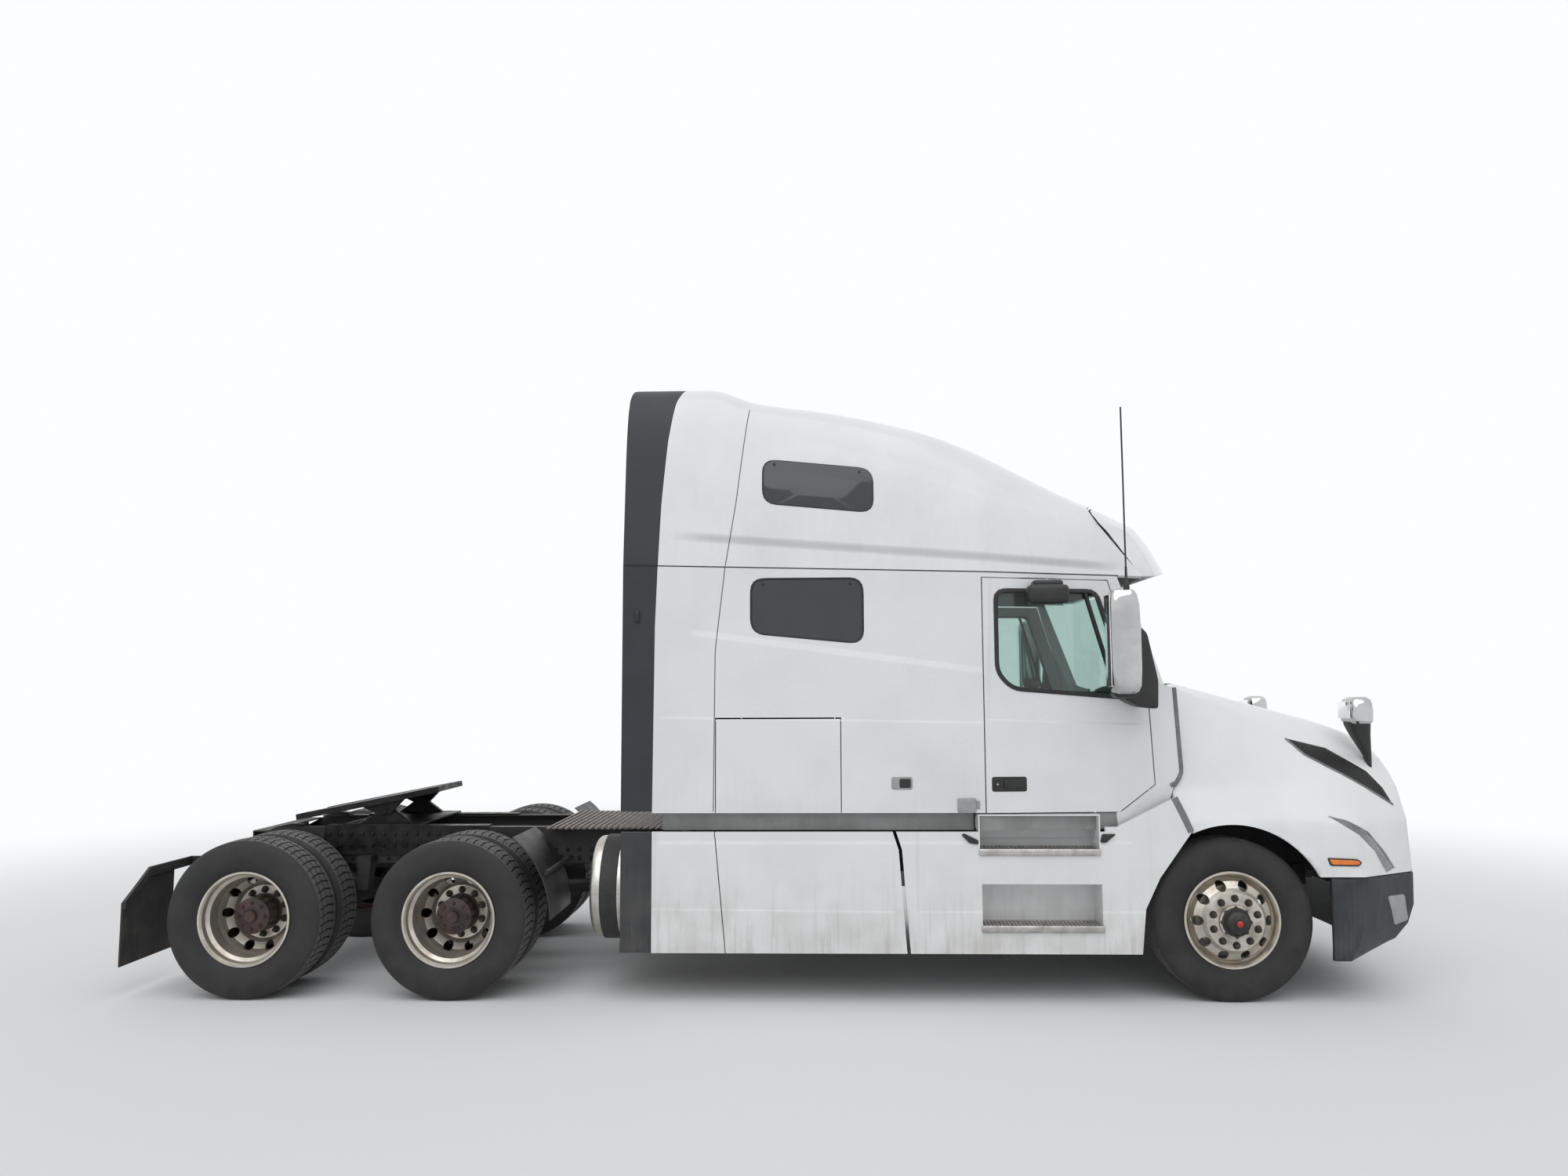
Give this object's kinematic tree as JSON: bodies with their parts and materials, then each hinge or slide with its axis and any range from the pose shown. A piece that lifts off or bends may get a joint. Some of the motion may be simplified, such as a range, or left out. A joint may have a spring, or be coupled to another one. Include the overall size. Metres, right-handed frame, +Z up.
{
  "type": "tractor unit",
  "caption": "Conventional road tractor with a high-roof sleeper cab, tandem drive axles and a fifth wheel; hood, doors, luggage doors, steering and wheels move.",
  "frame": {"origin": "on the ground under the middle of the length and width, wheels standing at z 0", "axes": "+X forward along the truck, +Y to its left, +Z up"},
  "size_m": [8.4398, 3.18, 4.0499],
  "materials": {
    "white_paint": "glossy white paint with road dirt low down",
    "dark_panel": "dark charcoal moulded panel",
    "chassis_black": "dusty black chassis paint",
    "plate_steel": "greased cast steel",
    "engine_metal": "painted cast iron",
    "tank_aluminium": "brushed aluminium",
    "tread_plate": "worn ribbed aluminium",
    "cab_inner": "primed sheet",
    "interior": "grained dashboard plastic",
    "upholstery": "dark woven cloth",
    "clear_glass": "faint green tint",
    "dark_glass": "heavily tinted",
    "lamp": "clear lamp cover",
    "black_plastic": "black moulded plastic",
    "mirror_shell": "bright plated shell on a black base",
    "flap_rubber": "black rubber sheet",
    "wheel_alloy": "dull machined aluminium",
    "tyre": "black tread rubber"
  },
  "bodies": {
    "chassis": {"frame_rails": "chassis_black", "crossmembers": "chassis_black", "engine_and_radiator": "engine_metal", "front_axle": "chassis_black", "drive_axles": "chassis_black", "suspension": "chassis_black", "fuel_tanks": "tank_aluminium", "deck_plate": "tread_plate", "fifth_wheel_base": "chassis_black", "quarter_fenders": "black_plastic", "mud_flaps": "flap_rubber", "flap_hangers": "chassis_black", "side_skirts": "white_paint", "steps": "tread_plate", "bumper": "dark_panel", "bumper_centre": "white_paint", "cab_tub": "cab_inner", "cab_sides": "white_paint", "cab_back": "cab_inner", "roof_cap": "white_paint", "sun_visor": "white_paint", "windscreen": "clear_glass", "sleeper_windows": "dark_glass", "side_extenders": "dark_panel", "dashboard": "interior", "seats_and_bunk": "upholstery"},
    "hood": {"hood": "white_paint", "grilles": "black_plastic", "headlamps": "lamp", "hood_mirrors": "black_plastic"},
    "door_left": {"door_left": "white_paint", "door_glass_left": "clear_glass", "door_mirror_left": "mirror_shell"},
    "door_right": {"door_right": "white_paint", "door_glass_right": "clear_glass", "door_mirror_right": "mirror_shell", "look_down_mirror": "black_plastic"},
    "luggage_door_left": {"luggage_door_left": "white_paint"},
    "luggage_door_right": {"luggage_door_right": "white_paint"},
    "knuckle_left": {"knuckle_left": "chassis_black"},
    "knuckle_right": {"knuckle_right": "chassis_black"},
    "tie_rod": {"tie_rod": "chassis_black"},
    "steer_wheel_left": {"steer_wheel_left": "wheel_alloy", "steer_tyre_left": "tyre"},
    "steer_wheel_right": {"steer_wheel_right": "wheel_alloy", "steer_tyre_right": "tyre"},
    "drive_wheels_front_left": {"drive_wheels_front_left": "wheel_alloy", "drive_tyres_front_left": "tyre"},
    "drive_wheels_front_right": {"drive_wheels_front_right": "wheel_alloy", "drive_tyres_front_right": "tyre"},
    "drive_wheels_rear_left": {"drive_wheels_rear_left": "wheel_alloy", "drive_tyres_rear_left": "tyre"},
    "drive_wheels_rear_right": {"drive_wheels_rear_right": "wheel_alloy", "drive_tyres_rear_right": "tyre"},
    "fifth_wheel_plate": {"fifth_wheel_plate": "plate_steel"}
  },
  "joints": [
    {"name": "steer_left", "type": "hinge", "parent": "chassis", "child": "knuckle_left", "pos_m": [2.84, 0.88, 0.5], "axis": [0, 0, 1], "range_deg": [-40, 40]},
    {"name": "steer_right", "type": "hinge", "parent": "chassis", "child": "knuckle_right", "pos_m": [2.84, -0.88, 0.5], "axis": [0, 0, 1], "range_deg": [-40, 40]},
    {"name": "tie_rod_swing", "type": "hinge", "parent": "knuckle_right", "child": "tie_rod", "pos_m": [2.65, -0.88, 0.37], "axis": [0, 0, 1], "range_deg": [-40, 40]},
    {"name": "steer_wheel_spin_left", "type": "hinge", "parent": "knuckle_left", "child": "steer_wheel_left", "pos_m": [2.84, 1.03, 0.5], "axis": [0, 1, 0], "continuous": true},
    {"name": "drive_wheel_spin_front_left", "type": "hinge", "parent": "chassis", "child": "drive_wheels_front_left", "pos_m": [-2.1, 0.907, 0.5], "axis": [0, 1, 0], "continuous": true},
    {"name": "drive_wheel_spin_rear_left", "type": "hinge", "parent": "chassis", "child": "drive_wheels_rear_left", "pos_m": [-3.42, 0.907, 0.5], "axis": [0, 1, 0], "continuous": true},
    {"name": "steer_wheel_spin_right", "type": "hinge", "parent": "knuckle_right", "child": "steer_wheel_right", "pos_m": [2.84, -1.03, 0.5], "axis": [0, 1, 0], "continuous": true},
    {"name": "drive_wheel_spin_front_right", "type": "hinge", "parent": "chassis", "child": "drive_wheels_front_right", "pos_m": [-2.1, -0.907, 0.5], "axis": [0, 1, 0], "continuous": true},
    {"name": "drive_wheel_spin_rear_right", "type": "hinge", "parent": "chassis", "child": "drive_wheels_rear_right", "pos_m": [-3.42, -0.907, 0.5], "axis": [0, 1, 0], "continuous": true},
    {"name": "hood_tilt", "type": "hinge", "parent": "chassis", "child": "hood", "pos_m": [4.203, 0, 0.7], "axis": [0, 1, 0], "range_deg": [0, 60]},
    {"name": "door_left_swing", "type": "hinge", "parent": "chassis", "child": "door_left", "pos_m": [2.355, 1.125, 1.6], "axis": [0, 0, -1], "range_deg": [0, 70]},
    {"name": "luggage_door_left_lift", "type": "hinge", "parent": "chassis", "child": "luggage_door_left", "pos_m": [0.002, 1.209, 1.749], "axis": [1, 0, 0], "range_deg": [0, 85]},
    {"name": "door_right_swing", "type": "hinge", "parent": "chassis", "child": "door_right", "pos_m": [2.355, -1.125, 1.6], "axis": [0, 0, 1], "range_deg": [0, 70]},
    {"name": "luggage_door_right_lift", "type": "hinge", "parent": "chassis", "child": "luggage_door_right", "pos_m": [0.002, -1.209, 1.749], "axis": [-1, 0, 0], "range_deg": [0, 85]},
    {"name": "fifth_wheel_tilt", "type": "hinge", "parent": "chassis", "child": "fifth_wheel_plate", "pos_m": [-2.84, 0, 1.1], "axis": [0, 1, 0], "range_deg": [0, 21.6]}
  ],
  "couplings": [
    {"joint": "steer_left", "follows": "steer_right", "ratio": 1},
    {"joint": "tie_rod_swing", "follows": "steer_right", "ratio": -1}
  ]
}
